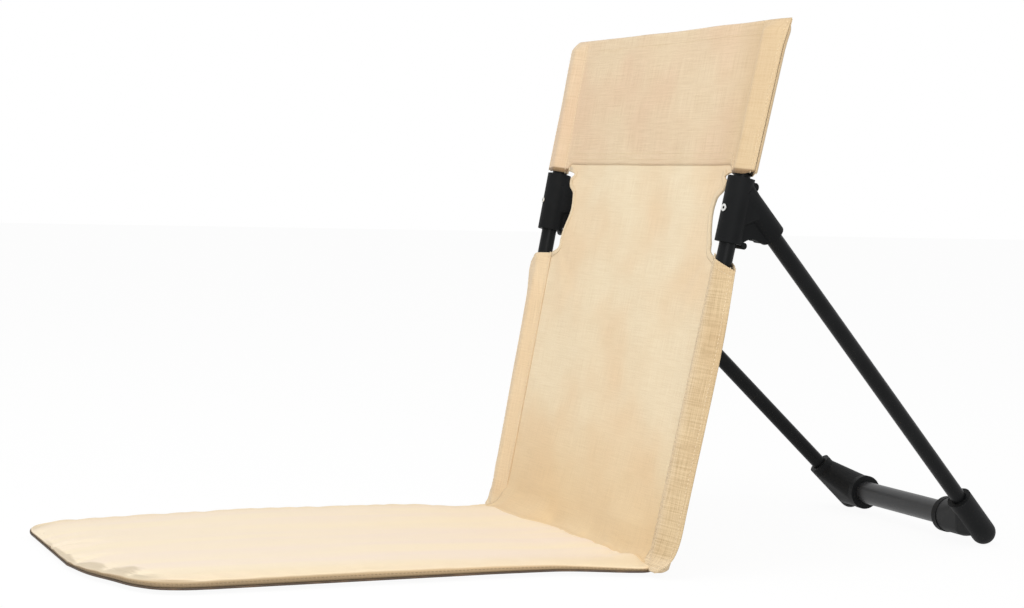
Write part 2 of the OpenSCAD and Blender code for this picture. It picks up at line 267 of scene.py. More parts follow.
# %% Finishes
class Finish:
    """A material, or the world, built node by node."""

    def __init__(self, name, kind=bpy.data.materials):
        self.owner = kind.new(name)
        self.owner.use_nodes = True
        self.owner.node_tree.nodes.clear()

    def add(self, kind, settings=None, sockets=None, out=0):
        plain = {}
        for name, value in (sockets or {}).items():
            value = colour(value) if isinstance(value, str) else value
            plain[name] = getattr(value, "socket", value)
        return Field(self, add_node(self.owner.node_tree, kind, settings, plain).outputs[out])

    def place(self):
        return self.add("ShaderNodeTexCoord", out="Object")

    def flat(self):
        """Where a point was on the cloth before it was sewn, in metres."""
        return self.add("ShaderNodeUVMap", {"uv_map": "cloth"})

    def part(self, where, axis):
        return self.add("ShaderNodeSeparateXYZ", None, {0: where}, out=axis)

    def noise(self, where, scale, detail=3.0, stretch=None):
        """Unevenness. A stretch squeezes it along each axis, so that threads and streaks run."""
        if stretch:
            where = self.add("ShaderNodeMapping", None, {"Vector": where, "Scale": stretch})
        sockets = {"Vector": where, "Scale": scale, "Detail": detail, "Roughness": 0.55}
        return self.add("ShaderNodeTexNoise", None, sockets)

    def weave(self, flat, pitch):
        """Threads that cross over and under, as one wave along each axis of the flat cloth."""
        turns = 2 * math.pi / pitch
        return (self.part(flat, 0) * turns).sine() * (self.part(flat, 1) * turns).sine()

    def blend(self, share, first, second):
        sockets = {0: share, 6: first, 7: second}
        return self.add("ShaderNodeMix", {"data_type": "RGBA"}, sockets, out=2)

    def bump(self, height, depth):
        sockets = {"Height": height, "Distance": depth, "Strength": 1.0}
        return self.add("ShaderNodeBump", None, sockets)

    def close(self, kind, shader):
        """Ends the tree in an output node of a kind and hands over what it finishes."""
        add_node(self.owner.node_tree, kind, None, {"Surface": shader.socket})
        return self.owner

    def surface(self, **sockets):
        named = {name.replace("_", " "): value for name, value in sockets.items()}
        shader = self.add("ShaderNodeBsdfPrincipled", None, named)
        return self.close("ShaderNodeOutputMaterial", shader)


# %% [markdown]
# ### Canvas
# The cloth is a plain-weave polyester canvas. Up close it shows threads crossing over and under,
# a little thicker here and thinner there. From a step away the threads melt into a matt surface
# with warm and pale patches. The weave reads the piece's own UV map, which is in metres, so the
# threads keep their size and follow every bend.

# %% Canvas
weave_pitch = 1.3 * mm
thread_depth = 0.12 * mm
thread_stretch = (900, 28, 1)


def canvas(name, pale, warm, shade, slub=0.3, fades=()):
    """Plain-weave cloth in two close tones, darker between its threads.

    Each fade is an axis of the flat cloth, where it starts and is full in mm, its strength and
    its colour."""
    cloth = Finish(name)
    flat = cloth.flat()
    crossing = cloth.weave(flat, weave_pitch)
    warp = cloth.noise(flat, 1.0, 2.0, thread_stretch)
    weft = cloth.noise(flat, 1.0, 2.0, (thread_stretch[1], thread_stretch[0], 1))
    uneven = warp + weft - 1.0
    patches = cloth.noise(flat, 9.0, 2.0).between(0.38, 0.66)
    fibres = cloth.noise(flat, 2200.0, 2.0)
    tone = cloth.blend(patches, pale, warm)
    for axis, start, full, strength, code in fades:
        share = cloth.part(flat, axis).between(start * mm, full * mm) * strength
        tone = cloth.blend(share, tone, code)
    hollow = (0.5 - crossing * 0.22 + uneven * -slub).between(0.2, 1.0)
    height = crossing * 0.5 + uneven * 0.9 + fibres * 0.3
    return cloth.surface(
        Base_Color=cloth.blend(hollow, tone, shade),
        Roughness=fibres * 0.12 + 0.84,
        Normal=cloth.bump(height, thread_depth),
        Sheen_Weight=0.15,
        Sheen_Roughness=0.5,
    )


# the back canvas turns darker and warmer towards its foot
darker_towards_foot = (1, 150, 20, 0.6, "DFBF8E")
near_side = (0, 118, 196, 0.7, "D6BD94")
# painted shadow: the head piece turns dark brown at the sleeves' mouths, where the hem shades the pole
painted_mouth_shadow = (1, 351.5, 349.5, 1.0, "6E543C")
foot_fade = (1, 11, 2, 0.9, "F4DFBC")
beside_panel = (0, -20, -33, 0.75, "E9D5B3")
head_fades, near_fades = [near_side, painted_mouth_shadow], [beside_panel, foot_fade]
back_cloth = canvas("back canvas", "EDDFC2", "E9D1AF", "C4A97E", fades=[darker_towards_foot])
head_cloth = canvas("head canvas", "E6D3B4", "E3C8AA", "B8996E", 0.4, head_fades)
near_sleeve_cloth = canvas("near sleeve canvas", "DEC69E", "D8BC92", "A0835A", 0.62, near_fades)
far_sleeve_cloth = canvas("far sleeve canvas", "EAD4B2", "E8CDA8", "BA9D74", 0.32, [foot_fade])
tape_cloth = canvas("edge tape", "EAD9BA", "E5CDAA", "BA9D72")
rim_thread_cloth = canvas("rim thread", "9C8666", "8E7858", "6E5A40")
thread_cloth = canvas("sewing thread", "F1E2C4", "EAD8B8", "CDB48C")
print("canvas weave:", round(weave_pitch / mm, 2), "mm from thread to thread")


# %% [markdown]
# ### The mat's cover and its dark underside
# The mat's cover is the same canvas, painted paler on top as painted light, because the top faces up
# to the light. Its side band is painted shade: where the cover faces sideways, the tone runs from
# cream at the top rim to brown at the ground, and it is darker towards the front.

# %% Mat cloth
rim_from, rim_full = 118 * mm, 168 * mm
shade_band_low, shade_band_high = 3 * mm, 11 * mm
front_end, rear_end = -380 * mm, -40 * mm


def mat_cover():
    """Cream canvas above, painted paler as light where it faces up, warmer towards the flanks, and a painted shade
    band that darkens to the ground.
    """
    cloth = Finish("mat canvas")
    flat = cloth.flat()
    crossing = cloth.weave(flat, weave_pitch)
    uneven = cloth.noise(flat, 1.0, 2.0, thread_stretch)
    streaks = cloth.noise(flat, 1.0, 2.0, (26, 3, 1)).between(0.35, 0.7)
    across = cloth.part(cloth.place(), 0)
    rim = (across * across).between(rim_from ** 2, rim_full ** 2)
    # painted light: the top's two tones are paler than the back's canvas, for a face turned up to the light
    top = cloth.blend(rim * 0.9, cloth.blend(streaks, "F5E7CC", "F2E3D3"), "EBD8B6")
    lengthwise = cloth.part(flat, 1).between(front_end, rear_end)
    # painted shade: the side band runs from tan at the rim to dark brown at the ground, darker towards the front
    side_shade_low = cloth.blend(lengthwise, "4E4032", "59442E")
    side_shade_high = cloth.blend(lengthwise, "B39C7C", "E0C49C")
    climb = cloth.part(cloth.place(), 2).between(shade_band_low, shade_band_high)
    side = cloth.blend(climb, side_shade_low, side_shade_high)
    threads = (0.5 - crossing * 0.2 + uneven * 0.2).between(0.25, 1.1)
    # the normal chooses between the painted light of the top and the painted shade of the side
    face = cloth.add("ShaderNodeNewGeometry", out="Normal")
    lit_top_share = cloth.part(face, 2).between(0.25, 0.75)
    # painted shade: the sloping front rim between the tucks, and the far tip, are painted grey on faces turned up
    gathered = cloth.add("ShaderNodeAttribute", {"attribute_name": "gathered"}, out="Fac")
    shown = cloth.blend(gathered * lit_top_share, cloth.blend(lit_top_share, side, top), "C9BCA4")
    return cloth.surface(
        Base_Color=cloth.blend(threads * 0.35, shown, "C2A06C"),
        Roughness=cloth.noise(flat, 1500.0) * 0.1 + 0.84,
        Normal=cloth.bump(crossing * 0.5 + uneven * 0.8, thread_depth),
        Sheen_Weight=0.12,
        Sheen_Roughness=0.5,
    )


def coated_base():
    """Dark brown cloth with a finer weave, scuffed paler here and there."""
    cloth = Finish("coated base cloth")
    flat = cloth.flat()
    crossing = cloth.weave(flat, weave_pitch * 0.6)
    scuffs = cloth.noise(flat, 60.0, 4.0).between(0.45, 0.75)
    return cloth.surface(
        Base_Color=cloth.blend(scuffs, "4A3A2C", "6A543E"),
        Roughness=scuffs * 0.2 + 0.5,
        Normal=cloth.bump(crossing * 0.5 + scuffs * 0.4, 0.08 * mm),
    )


mat_cloth = mat_cover()
base_cloth = coated_base()
print("mat finishes:", mat_cloth.name + ",", base_cloth.name)


# %% [markdown]
# ### Tubes, mouldings and the rivet
# Black anodised tube is satin and a touch uneven along its length, where it was drawn and handled.
# The mouldings are filled nylon with a fine sparked grain. The cross bar is a paler grey-black.
# The rivet is bright and slightly brushed.

# %% Hard finishes
def satin_tube(name, dark, light, rough, shine):
    tube = Finish(name)
    here = tube.place()
    haze = tube.noise(here, 35.0, 4.0)
    grain = tube.noise(here, 2600.0, 2.0)
    scratches = tube.noise(here, 1.0, 3.0, (900, 60, 60)).between(0.62, 0.8)
    return tube.surface(
        Base_Color=tube.blend(haze.between(0.3, 0.8), dark, light),
        Roughness=haze * 0.14 + grain * 0.06 + scratches * 0.08 + (rough - 0.1),
        Normal=tube.bump(grain + scratches * 0.8, 0.012 * mm),
        Specular_IOR_Level=shine,
    )


def moulded(name, dark, light, rough):
    plastic = Finish(name)
    here = plastic.place()
    cloudy = plastic.noise(here, 22.0, 3.0)
    grain = plastic.noise(here, 1900.0, 3.0)
    return plastic.surface(
        Base_Color=plastic.blend(cloudy.between(0.35, 0.75), dark, light),
        Roughness=cloudy * 0.12 + grain * 0.1 + (rough - 0.1),
        Normal=plastic.bump(grain, 0.05 * mm),
        Specular_IOR_Level=0.1,
    )


def bright_rivet():
    steel = Finish("rivet steel")
    brushed = steel.noise(steel.place(), 1.0, 2.0, (3000, 400, 400))
    return steel.surface(
        Base_Color=steel.blend(brushed, "D8D8D4", "EDEDEA"),
        Roughness=brushed * 0.15 + 0.22,
        Normal=steel.bump(brushed, 0.01 * mm),
        Metallic=1.0,
    )


def woven_cord():
    cord = Finish("woven cord")
    strands = cord.noise(cord.place(), 1.0, 2.0, (900, 900, 300))
    return cord.surface(
        Base_Color=cord.blend(strands, "2C2C2C", "565656"),
        Roughness=strands * 0.1 + 0.8,
        Normal=cord.bump(strands, 0.1 * mm),
    )


finish_of_slot = {
    "tube_black": satin_tube("black tube", "0D0E0F", "151617", 0.36, 0.12),
    "tube_grey": satin_tube("grey tube", "232426", "2C2D2F", 0.36, 0.35),
    "plastic_black": moulded("black moulding", "101112", "171819", 0.55),
    "plastic_charcoal": moulded("charcoal moulding", "151617", "202122", 0.5),
    "rivet_steel": bright_rivet(),
    "cord": woven_cord(),
}
slot_of_node = {part["node"]: part["material_slot"] for part in frame["record"]["subparts"]}
for name, node in frame["nodes"].items():
    if slot_of_node[name] in finish_of_slot:
        node.data.materials.clear()
        node.data.materials.append(finish_of_slot[slot_of_node[name]])
print("hard finishes:", ", ".join(finish_of_slot))


# %% [markdown]
# ## From rows of points to a sheet of cloth
# Each sheet is a grid: rows of points in the middle of the cloth's thickness. Solidify then gives
# it a wall on both sides, and the result is kept as a plain mesh, so nothing waits to be worked
# out later. The UV map says where each point was on the flat cloth.

# %% Grid to sheet
cloth_t = 0.8 * mm


def settle(piece):
    """Replaces a piece's mesh by what its modifiers make of it, and drops the modifiers."""
    shaped = piece.evaluated_get(bpy.context.evaluated_depsgraph_get())
    mesh = bpy.data.meshes.new_from_object(shaped)
    piece.modifiers.clear()
    piece.data = mesh
    mesh.shade_smooth()
    return piece


def face_count(*pieces):
    return sum(len(piece.data.polygons) for piece in pieces)


def grid_faces(rows, columns):
    index = np.arange(rows * columns).reshape(rows, columns)
    corners = (index[:-1, :-1], index[:-1, 1:], index[1:, 1:], index[1:, :-1])
    return np.stack(corners, -1).reshape(-1, 4)


def cloth_mesh(name, points, faces, flat, finish):
    """A mesh from points and faces, with each point's place on the flat cloth as its UV."""
    mesh = bpy.data.meshes.new(name)
    mesh.materials.append(finish)
    mesh.from_pydata(points.reshape(-1, 3).tolist(), [], [list(map(int, face)) for face in faces])
    corner = np.zeros(len(mesh.loops), int)
    mesh.loops.foreach_get("vertex_index", corner)
    layer = mesh.uv_layers.new(name="cloth")
    layer.data.foreach_set("uv", flat.reshape(-1, 2)[corner].ravel())
    return mesh


def walled(mesh, thickness):
    """A piece from a mesh, with a wall that lies half on each side of it."""
    piece = link(mesh, mesh.name)
    wall = piece.modifiers.new("wall", "SOLIDIFY")
    wall.thickness = thickness
    wall.offset = 0
    return settle(piece)


def sheet(name, points, flat, finish, thickness=cloth_t):
    """A sheet of cloth from rows of points."""
    faces = grid_faces(*points.shape[:2])
    return walled(cloth_mesh(name, points, faces, flat, finish), thickness)


def on_back(x, y, z):
    """Points in the frame of the back, taken to their place in the room."""
    return np.stack(np.broadcast_arrays(x, y, z), -1) @ back_turn.T + back_at


def unit(arrows):
    """The same directions with a length of 1."""
    return arrows / np.maximum(np.linalg.norm(arrows, axis=-1, keepdims=True), 1e-12)


def beside(path):
    """The direction square to a flat path, to its left, at each of its points."""
    ahead = unit(np.gradient(path, axis=0))
    return np.stack([-ahead[:, 1], ahead[:, 0]], -1)


def lengths(line):
    """Distance of each point of a line from its first, measured along the line."""
    return np.concatenate([[0], np.cumsum(np.linalg.norm(np.diff(line, axis=0), axis=1))])


def run_lengths(points):
    """Distance of each point of a grid from its row's middle, measured along the row."""
    along = np.stack([lengths(row) for row in points])
    return along - along[:, along.shape[1] // 2][:, None]


print("cloth:", round(cloth_t / mm, 1), "mm thick")


# %% [markdown]
# ## The mat
# The mat is a cover with a sheet of foam inside: a top, a side band, and a dark base under it. It
# widens just before the fold. One front corner is nearly square, the other is a long curve where
# the cloth of the top is gathered into small tucks. The rim curls up a little from the ground,
# because the cover is tighter than the foam. The mat is laid out in rows from the front edge to
# the fold, and each row knows where it ends on both sides. The rim is built from rings that step
# outwards and down from the top's edge.

# %% Outline of the mat
mat_half = 163 * mm
mat_half_back = 186 * mm
mat_rear = -4 * mm
left_rear_round, right_rear_round = 15 * mm, 12 * mm
mat_drift, mat_drift_length = 7 * mm, 160 * mm
mat_base_z = 1.0 * mm
left_flare, right_flare = 90 * mm, 60 * mm
row_gather = 1.4

# each front corner as (x, y) in mm, from the front edge to the flank
left_corner = [
    (30, -484), (76, -475), (106, -463), (136, -450.5), (152, -437), (160.5, -417), (163, -392),
]
right_corner = [
    (105, -484.5), (140, -483.5), (152, -480.5), (158.5, -473), (161.5, -458), (163, -430),
    (163, -392),
]


def mat_edge(corner, flare, rear_round, corner_rows=26, flank_rows=72):
    """One side of the mat from the middle of its front edge to the fold, as rows of (x, y)."""
    corner = np.array(corner) * mm
    run = lengths(corner)
    steps = np.linspace(0, run[-1], corner_rows)
    share = 1 - (1 - np.linspace(0, 1, flank_rows + 1)[1:]) ** row_gather
    y = corner[-1, 1] + (mat_rear - corner[-1, 1]) * share
    widening = (1 + np.cos(math.pi * np.clip((mat_rear - y) / flare, 0, 1))) / 2
    past = np.clip(1 + (y - mat_rear) / rear_round, 0, 1)
    x = mat_half + (mat_half_back - mat_half) * widening - rear_round * (1 - np.sqrt(1 - past ** 2))
    round_x, round_y = (through(run, column)(steps) for column in corner.T)
    return np.stack([np.concatenate([round_x, x]), np.concatenate([round_y, y])], -1)


def mat_side(corner, flare, rear_round, inset):
    """The same side moved inwards, square to the outline."""
    edge = mat_edge(corner, flare, rear_round)
    return edge + inset * beside(edge)


def mat_rows(inset, columns=67):
    """Rows of points across the mat, inset from its edge, as x and y relative to the fold."""
    left = mat_side(left_corner, left_flare, left_rear_round, inset)
    right = mat_side(right_corner, right_flare, right_rear_round, inset)
    share = np.linspace(0, 1, columns)[None, :]
    x = -right[:, :1] * (1 - share) + left[:, :1] * share
    y = right[:, 1:] * (1 - share) + left[:, 1:] * share
    return x - mat_drift * smooth(-y / mat_drift_length), y


def border_of(grid):
    """The points round the edge of a grid, once round."""
    return np.concatenate([grid[0, :-1], grid[:-1, -1], grid[-1, :0:-1], grid[:0:-1, 0]])


def mat_ring(inset):
    """Points once round the mat at an inset from its edge, as x and y."""
    return [border_of(part) for part in mat_rows(inset)]


outline_x, outline_y = mat_ring(0)
print("mat outline:", [round(float(np.ptp(part)) / mm) for part in (outline_x, outline_y)], "mm")

# %% [markdown]
# Heights come next. The rim is thin along the front edge, thickest halfway down the mat and thin
# again at the fold, where the cover is sewn flat. Small tucks pull it down where the cloth is
# gathered, and slow waves keep the top from looking like a board.

# %% Heights of the mat
mat_crown = 1.0 * mm
mat_curl = 3.4 * mm
mat_curl_width = 45 * mm
right_rise = 3.0 * mm
rear_swell = 2.4 * mm
corner_puff = 3.0 * mm
tuck_places = [(-48, -484), (38, -479.5), (84, -468.5), (118, -456)]
tuck_length = 26
fold_wave_reach = 20 * mm
tuck_depth, tuck_width = 2.0 * mm, 2.6
ridge_rise, ridge_width, ridge_beside = 0.9 * mm, 5, 6 * mm
rim_height = through_mm(
    [-484, -466, -452, -410, -355, -277, -195, -115, -46, -7],
    [7.4, 9.6, 11.2, 12.2, 12.9, 13.4, 13.0, 11.7, 9.4, 8.2],
)


def edge_reach(x, y):
    """How far places on the mat are from its edge."""
    return np.hypot(x[..., None] - outline_x, y[..., None] - outline_y).min(-1)


def rim_lift(x, y):
    """How far the underside curls up from the ground near the mat's edge."""
    return mat_curl * np.clip(1 - edge_reach(x, y) / mat_curl_width, 0, 1) ** 2


def mat_unevenness(x, y):
    """Soft waves along the mat, and tucks that run in from its front edge."""
    waves = 0.45 * mm * ripple(x * 2.2, y * 0.5, 120, 0.4)
    waves = waves + 0.25 * mm * ripple(x, y, 55, 5.1)
    tucks = 0
    for place_x, place_y in tuck_places:
        start, end = (place_x, place_y), (place_x * 0.8, place_y + tuck_length)
        tucks = tucks - tuck_depth * crease(x, y, start, end, tuck_width)
        tucks = tucks + ridge_rise * crease(x + ridge_beside, y, start, end, ridge_width)
    fold_waves = 0.8 * mm * np.exp((y - mat_rear) / fold_wave_reach) * ripple(x, 0 * x, 70, 1.1)
    return waves + tucks + fold_waves


# %% Painted shade on the front rim
tuck_order = np.array([-150, -48, 38, 84, 118, 152]) * mm
rim_shade_reach = through(np.array([-48, 0, 62, 102, 134, 160]) * mm, [2, 4.5, 10, 19, 12, 2])


def painted_front_rim_shade(x, y):
    """How strongly the front rim is painted grey as shade: scallops between the tucks, where the cloth slopes
    down, and the far tip; 0 elsewhere.
    """
    phase = np.interp(x, tuck_order, np.arange(len(tuck_order)))
    width = (2.5 + rim_shade_reach(x) * np.abs(np.sin(math.pi * phase))) * mm
    front = eased(-y, 424, 446) * eased(x, -95, -45)
    scallops = front * smooth((width - edge_reach(x, y)) / (3 * mm) + 0.5)
    far_tip = mound(x, -152, 16) * mound(y, -478, 13)
    return 0.85 * scallops + 0.5 * far_tip


# %% Body of the mat
rim_rings = [
    (4.4, 0.985), (3.0, 0.93), (1.9, 0.82), (1.1, 0.66),
    (0.8, 0.48), (0.8, 0.3), (1.1, 0.14), (1.9, 0.04),
]
rim_inset = 6 * mm


def ring_numbers(rings, start):
    """The numbers of the points of rings of one length, which follow one another from start."""
    count = len(rings[0])
    return [start + k * count + np.arange(count) for k in range(len(rings))]


def ring_walls(loops):
    """Faces between each loop of point numbers and the next."""
    pairs = zip(loops[:-1], loops[1:])
    return [np.stack([one, two, np.roll(two, -1), np.roll(one, -1)], -1) for one, two in pairs]


def mat_top(x, y):
    """Height of the top cover before it is filled."""
    crown = mat_crown * (1 - (x / mat_half) ** 2) * eased(-y, 0, 60)
    high_side = right_rise * eased(-x, 40, 140) * eased(-y, 20, 110)
    high_side = high_side * eased(y, -460, -260)
    swell = rear_swell * (1 - (x / mat_half_back) ** 4) * eased(y, -70, -20)
    puff = corner_puff * mound(x, 148, 16) * mound(y, -14, 13)
    return rim_height(y) + crown + high_side + swell + puff + mat_unevenness(x, y)


def mat_body():
    """The closed mesh of the padded mat: a top, an underside, and rings down its side."""
    x, y = mat_rows(rim_inset)
    top_z = mat_top(x, y)
    rim_z = border_of(top_z)
    rings = []
    for inset, share in rim_rings:
        ring_x, ring_y = mat_ring(inset * mm)
        foot_z = mat_base_z + rim_lift(ring_x, ring_y)
        rings.append(np.stack([ring_x, ring_y, foot_z + (rim_z - foot_z) * share], -1))
    under_z = mat_base_z + rim_lift(x, y)
    top, under = (np.stack([x, y, z], -1).reshape(-1, 3) for z in (top_z, under_z))
    top_loop = border_of(np.arange(x.size).reshape(x.shape))
    loops = [top_loop, *ring_numbers(rings, 2 * x.size), top_loop + x.size]
    grid = grid_faces(*x.shape)
    faces = [grid, grid[:, ::-1] + x.size, *ring_walls(loops)]
    return np.concatenate([top, under, *rings]), np.concatenate(faces), loops


mat_points, mat_faces, mat_loops = mat_body()
mat_flat = mat_points[:, :2]
mat_points = mat_points + fold_at
mat_mesh = cloth_mesh("seat_pad", mat_points, mat_faces, mat_flat, mat_cloth)
# painted shade of the front rim, stored on the mesh for the mat's finish
grey = mat_mesh.attributes.new("gathered", "FLOAT", "POINT")
grey.data.foreach_set("value", painted_front_rim_shade(*mat_flat.T).astype(np.float32))
seat_pad = link(mat_mesh, "seat_pad")
print("mat:", len(mat_faces), "faces before it is filled")

# %% [markdown]
# ## Filling the mat
# A cushion gets its look from the fight between its filling, which pushes out, and its seams,
# which hold. Blender's Cloth does that: pressure from inside, with the underside, the tucks and
# all but the top of the rim pinned. Gravity is off, because the pad is filled and not hung. How
# far a point may move is capped, so that the mat stays as thin as the real one. One level of
# subdivision then smooths the whole pad.

# %% Cloth pressure
fill_cap = 1.6 * mm
tuck_hold = 9 * mm
cloth_settings = {
    "quality": 5,
    "mass": 0.3,
    "tension_stiffness": 30,
    "compression_stiffness": 8,
    "shear_stiffness": 8,
    "bending_stiffness": 0.3,
    "use_pressure": True,
    "uniform_pressure_force": 4,
    "shrink_min": -0.012,
    "vertex_group_mass": "seams",
}


def fill_with_air(piece, pinned, frames=20):
    """Runs the cloth simulation on a copy and returns where its points end."""
    copy = link(piece.data.copy(), "filling")
    group = copy.vertex_groups.new(name="seams")
    group.add([int(i) for i in pinned], 1.0, "REPLACE")
    cloth = copy.modifiers.new("cloth", "CLOTH")
    for name, value in cloth_settings.items():
        setattr(cloth.settings, name, value)
    cloth.settings.effector_weights.gravity = 0
    cloth.collision_settings.use_collision = False
    cloth.point_cache.frame_start = 1
    cloth.point_cache.frame_end = frames
    for number in range(1, frames + 1):
        bpy.context.scene.frame_set(number)
    shaped = copy.evaluated_get(bpy.context.evaluated_depsgraph_get())
    co = np.zeros(len(copy.data.vertices) * 3, np.float32)
    shaped.data.vertices.foreach_get("co", co)
    bpy.data.objects.remove(copy)
    bpy.context.scene.frame_set(1)
    return co.reshape(-1, 3)


top_count = mat_rows(rim_inset)[0].size
held = np.concatenate([np.arange(top_count, 2 * top_count), *mat_loops[3:]])
for place_x, place_y in tuck_places:
    far = np.hypot(mat_points[:, 0] - place_x * mm, mat_points[:, 1] - fold_y - place_y * mm)
    held = np.concatenate([held, np.nonzero(far < tuck_hold)[0]])
moved = fill_with_air(seat_pad, np.unique(held)) - mat_points
length = np.linalg.norm(moved, axis=1)
share = fill_cap * np.tanh(length / fill_cap) / np.maximum(length, 1e-9)
filled = mat_points + moved * share[:, None]
filled[:, 2] = np.maximum(filled[:, 2], mat_base_z)
seat_pad.data.vertices.foreach_set("co", filled.astype(np.float32).ravel())
seat_pad.data.update()
print("filling moved the cover by up to", round(float(length.max()) / mm, 2), "mm, uncapped")

soften = seat_pad.modifiers.new("soften", "SUBSURF")
soften.levels = 1
soften.render_levels = 1
settle(seat_pad)
print("mat:", face_count(seat_pad), "faces")

# %% [markdown]
# The base is one piece of coated brown cloth. Its edge turns up round the mat's side, which is the dark
# line that shows along the ground: partly the base's own brown, partly a dark sheet standing in for shade.

# %% Base of the mat
base_rings = [(0.9, 0.45), (0.35, 0.6), (0.15, 0.95), (0.25, 1.4), (0.45, 1.8)]
base_inset = 2.4 * mm
base_z = 0.45 * mm
base_t = 0.6 * mm


def mat_underside():
    """The base: a flat part, and rings that turn up round the mat's side."""
    x, y = mat_rows(base_inset)
    rings = []
    for inset, height in base_rings:
        ring_x, ring_y = mat_ring(inset * mm)
        rings.append(np.stack([ring_x, ring_y, height * mm + rim_lift(ring_x, ring_y)], -1))
    flat_part = np.stack([x, y, base_z + rim_lift(x, y)], -1).reshape(-1, 3)
    loops = [border_of(np.arange(x.size).reshape(x.shape)), *ring_numbers(rings, x.size)]
    points = np.concatenate([flat_part, *rings])
    faces = np.concatenate([grid_faces(*x.shape), *ring_walls(loops)])
    mesh = cloth_mesh("seat_underside", points + fold_at, faces, points[:, :2], base_cloth)
    return walled(mesh, base_t)


underside = mat_underside()
print("base of the mat:", face_count(underside), "faces")

# %% [markdown]
# The back's cloth will end on the mat, so it has to know how high the finished mat stands at any
# place. Dropping a line on the mesh from above gives that.

# %% Height of the finished mat
mat_tree = BVHTree.FromObject(seat_pad, bpy.context.evaluated_depsgraph_get())
drop_z = 100 * mm


def on_mat(x, y):
    """Height of the mat's top at places given relative to the fold."""
    x, y = np.broadcast_arrays(x, y)
    above = zip(x.ravel(), y.ravel() + fold_y, np.full(x.size, drop_z))
    return np.array([mat_tree.ray_cast(place, (0, 0, -1))[0].z for place in above]).reshape(x.shape)


print("the mat stands", round(float(on_mat(0.0, -0.2)) / mm, 1), "mm high in its middle")

# %% [markdown]
# ## How the back hangs
# Two poles hold the cloth at its sides, so it sags a little between them, is slightly uneven, and
# shows pull lines that start at the notches, where the tension has to go round a corner. Front and
# rear layers share one function, so they lie together everywhere.

# %% Drape of the back
sag = 4 * mm
head_seam_z = 355 * mm
cloth_top_z = 483 * mm
notch_low_z = 268 * mm
notch_high_z = 349.5 * mm
puff_depth, far_puff_depth = 4.5 * mm, 2.6 * mm
gather_depth, gather_reach_up = 1.6 * mm, 26 * mm

# where each pull line of the left side starts and ends, its depth and its width, all in mm
pull_lines = [
    ((160, 273), (80, 215), 1.1, 7),
    ((160, 273), (105, 180), -0.9, 8),
    ((160, 346), (90, 330), 0.9, 6),
]


def pulls(x, z):
    """Lines of tension that start at the corners of the notches."""
    total = 0
    for side in (-1, 1):
        for (x0, z0), (x1, z1), depth, width in pull_lines:
            total = total + depth * mm * crease(x, z, (side * x0, z0), (side * x1, z1), width)
    return total


def drape(x, z):
    """How far the back's cloth lies behind the plane of the poles."""
    share = x / pole_x(z)
    free = smooth((0.93 - np.abs(share)) / 0.22)
    hollow = sag * (1 - share ** 2) * eased(z, 0, 150) * (1 - 0.6 * eased(z - head_seam_z, 0, 60))
    uneven = 1.2 * mm * ripple(x, z, 130, 0.7) + 0.45 * mm * ripple(x, z, 48, 2.1)
    gathers = np.exp(-np.maximum(z, 0) / gather_reach_up) * ripple(x, 0 * z, 60, 4.0) * gather_depth
    low = mound(z, 18, 17)
    puffs = (puff_depth * mound(x, 108, 40) + far_puff_depth * mound(x, -70, 55)) * low
    return hollow + free * (uneven + pulls(x, z) + gathers - puffs)


print("the back sags", round(float(drape(0.0, 0.2)) / mm, 1), "mm in its middle")

# %% [markdown]
# ## The back panel, front and rear
# The panel is two layers of canvas. Its sides run under the sleeves, except at the notches, where
# the cloth is cut back in a curve to leave the hubs free. A chosen handful of points gives that
# curve. At the foot, the front layer rounds the fold and runs out on the mat, where it is sewn
# down, and the rear layer swings round under it.

# %% Side edge of the panel
tuck = 11.5 * mm
far_notch_drop = 8 * mm
notch_curve = through_mm(
    [268, 271, 274, 285, 299, 311, 320, 327, 331, 340, 347, 349.5],
    [176, 171, 163, 156.5, 150.5, 147.6, 148.4, 152, 159, 162.8, 161, 178.5],
)


def notch_start(side):
    """Height of the notch's lower end; the far one reaches a little lower."""
    return notch_low_z - far_notch_drop * (side < 0)


def panel_edge(z, side):
    """Half width of the back panel on one side, +1 for the left."""
    wander = 0.8 * mm * np.sin(z / (5.5 * mm)) * (side < 0)
    drop = far_notch_drop * eased(z, 300, 270) * (side < 0)
    inside = (z > notch_start(side)) & (z < notch_high_z)
    return np.where(inside, notch_curve(z + drop) + wander, pole_x(z) - tuck)


print("the notch leaves a half width of", round(float(notch_curve(311 * mm)) / mm, 1), "mm")

# %% Layers of the panel
panel_top_z = 366 * mm
panel_columns = np.linspace(-1, 1, 89)
notch_rows = np.arange(254, 353, 2) * mm
panel_z = np.concatenate([
    np.arange(26, 252, 4) * mm,
    notch_rows,
    np.linspace(notch_rows[-1] + 3 * mm, panel_top_z, 5),
])
layer_y = 0.45 * mm
mat_clear = 0.8 * mm


def panel_grid(fall_points, side_y):
    """Rows of points for one layer: fall_points below, then the rows that hang in the back."""
    z = panel_z[:, None]
    s = panel_columns[None, :]
    x = s * np.where(s < 0, panel_edge(z, -1), panel_edge(z, 1))
    return np.concatenate([fall_points, on_back(x, side_y + drape(x, z), z)])


def panel_sheet(name, points):
    """A layer of the panel, whose flat cloth is measured up its middle column."""
    climb = lengths(points[:, len(panel_columns) // 2])[:, None]
    x = points[..., 0]
    return sheet(name, points, np.stack([x, climb + 0 * x], -1), back_cloth)


def rear_fall():
    """The rear layer below the panel: it swings under the fold to meet the seat's underside."""
    knots = np.array([(0.45, 26), (0.45, 0), (-1.2, -9.4), (-8.9, -10.0)]) * mm
    fall = cubic(np.linspace(1, 0, 18)[:-1, None], knots)
    y, z = fall[:, :1], fall[:, 1:]
    x = panel_columns[None, :] * panel_edge(0 * mm, 1)
    give = drape(x, z) * (1 - smooth((panel_z[0] - z) / panel_z[0]))
    return on_back(x, y + give, z + 0 * x)


